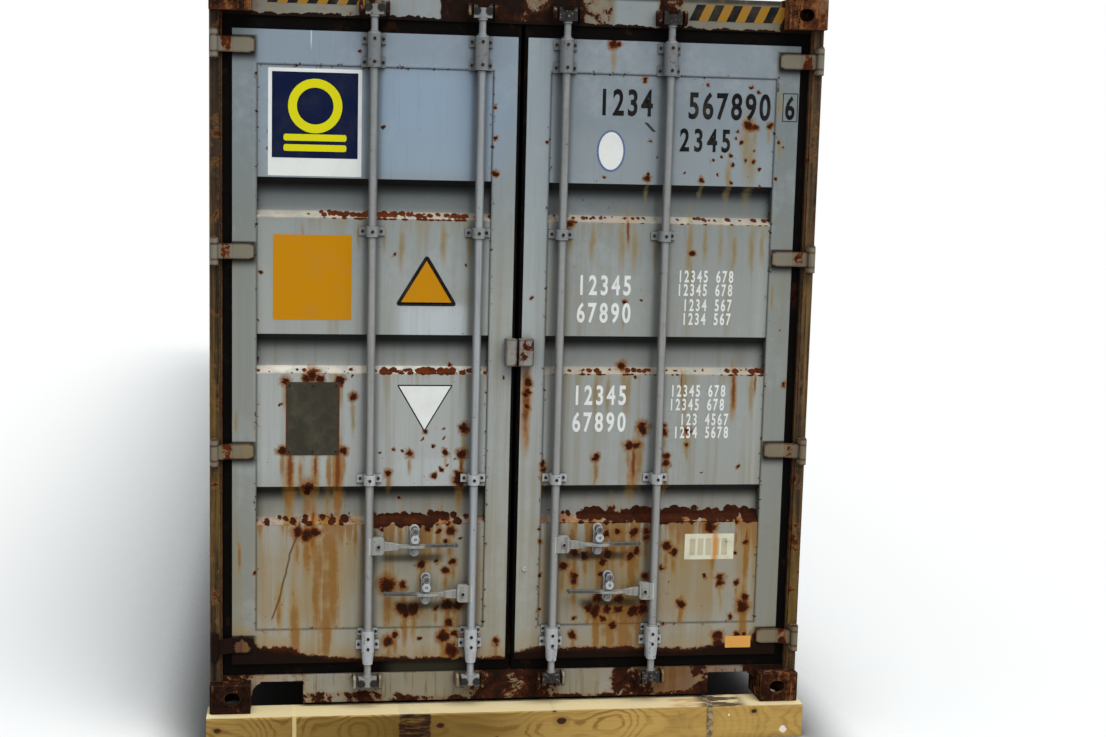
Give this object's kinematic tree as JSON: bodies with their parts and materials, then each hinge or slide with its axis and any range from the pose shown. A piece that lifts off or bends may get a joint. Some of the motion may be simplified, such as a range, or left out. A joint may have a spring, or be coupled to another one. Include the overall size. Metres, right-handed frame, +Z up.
{
  "type": "shipping container",
  "caption": "Long high-cube dry freight box of corrugated steel with double rear doors, locking rods and handles, standing on two timber bearers.",
  "frame": {"origin": "on the ground, midway between the ends and the sides, under the bearers", "axes": "+X to the right seen from outside the doors, +Y from the door end to the front end, +Z up"},
  "size_m": [2.46, 12.276, 3.036],
  "materials": {
    "pine": "sawn yellow pine, knots and stains",
    "casting_rust": "dark brown rust over old paint",
    "body_paint": "faded blue-grey paint with rust",
    "underside_coating": "black wax coating",
    "plywood": "worn floor plywood",
    "sill_paint": "stained cream paint, heavy rust",
    "post_paint": "brown rusty paint",
    "hinge_paint": "chipped cream paint with rust edges",
    "door_paint": "weathered blue-grey paint, rust spots and streaks",
    "gasket_rubber": "black seal",
    "galvanised_steel": "dull galvanised forging",
    "lock_box_paint": "grey paint, rusted",
    "plate_metal": "dull grey-green plate",
    "rod_paint": "grey painted tube"
  },
  "bodies": {
    "frame": {"timber_bearer_rear": "pine", "timber_bearer_front": "pine", "corner_castings": "casting_rust", "bottom_side_rail_left": "body_paint", "bottom_side_rail_right": "body_paint", "cross_members": "underside_coating", "gooseneck_tunnel": "underside_coating", "floor": "plywood", "front_sill": "body_paint", "front_header": "body_paint", "front_post_left": "body_paint", "front_post_right": "body_paint", "front_wall": "body_paint", "door_sill": "sill_paint", "door_header": "sill_paint", "rear_post_left": "post_paint", "rear_post_right": "post_paint", "side_wall_left": "body_paint", "side_wall_right": "body_paint", "top_side_rail_left": "body_paint", "top_side_rail_right": "body_paint", "roof": "body_paint", "roof_corner_plates": "body_paint", "hinge_lugs_left": "hinge_paint", "hinge_lugs_right": "hinge_paint", "cam_keepers": "sill_paint", "vents": "body_paint"},
    "door_left": {"door_left_frame": "door_paint", "door_left_panel": "door_paint", "door_left_gasket": "gasket_rubber", "door_left_hinge_blades": "hinge_paint", "door_left_rod_bearings": "galvanised_steel", "door_left_handle_catches": "galvanised_steel", "door_left_lock_box": "lock_box_paint", "data_plate": "plate_metal"},
    "door_right": {"door_right_frame": "door_paint", "door_right_panel": "door_paint", "door_right_gasket": "gasket_rubber", "door_right_hinge_blades": "hinge_paint", "door_right_rod_bearings": "galvanised_steel", "door_right_handle_catches": "galvanised_steel", "door_right_lock_box": "lock_box_paint"},
    "rod_left_outer": {"lock_rod_left_outer": "rod_paint", "handle_left_outer": "galvanised_steel"},
    "rod_left_inner": {"lock_rod_left_inner": "rod_paint", "handle_left_inner": "galvanised_steel"},
    "rod_right_inner": {"lock_rod_right_inner": "rod_paint", "handle_right_inner": "galvanised_steel"},
    "rod_right_outer": {"lock_rod_right_outer": "rod_paint", "handle_right_outer": "galvanised_steel"}
  },
  "joints": [
    {"name": "door_left_swing", "type": "hinge", "parent": "frame", "child": "door_left", "pos_m": [-1.2, -6.078, 1.6], "axis": [0, 0, -1], "range_deg": [0, 265]},
    {"name": "door_right_swing", "type": "hinge", "parent": "frame", "child": "door_right", "pos_m": [1.2, -6.078, 1.6], "axis": [0, 0, 1], "range_deg": [0, 265]},
    {"name": "rod_left_outer_turn", "type": "hinge", "parent": "door_left", "child": "rod_left_outer", "pos_m": [-0.588, -6.07, 0.74], "axis": [0, 0, 1], "range_deg": [-110, 0]},
    {"name": "rod_left_inner_turn", "type": "hinge", "parent": "door_left", "child": "rod_left_inner", "pos_m": [-0.168, -6.07, 0.74], "axis": [0, 0, -1], "range_deg": [-110, 0]},
    {"name": "rod_right_inner_turn", "type": "hinge", "parent": "door_right", "child": "rod_right_inner", "pos_m": [0.168, -6.07, 0.74], "axis": [0, 0, 1], "range_deg": [-110, 0]},
    {"name": "rod_right_outer_turn", "type": "hinge", "parent": "door_right", "child": "rod_right_outer", "pos_m": [0.588, -6.07, 0.74], "axis": [0, 0, -1], "range_deg": [-110, 0]}
  ]
}
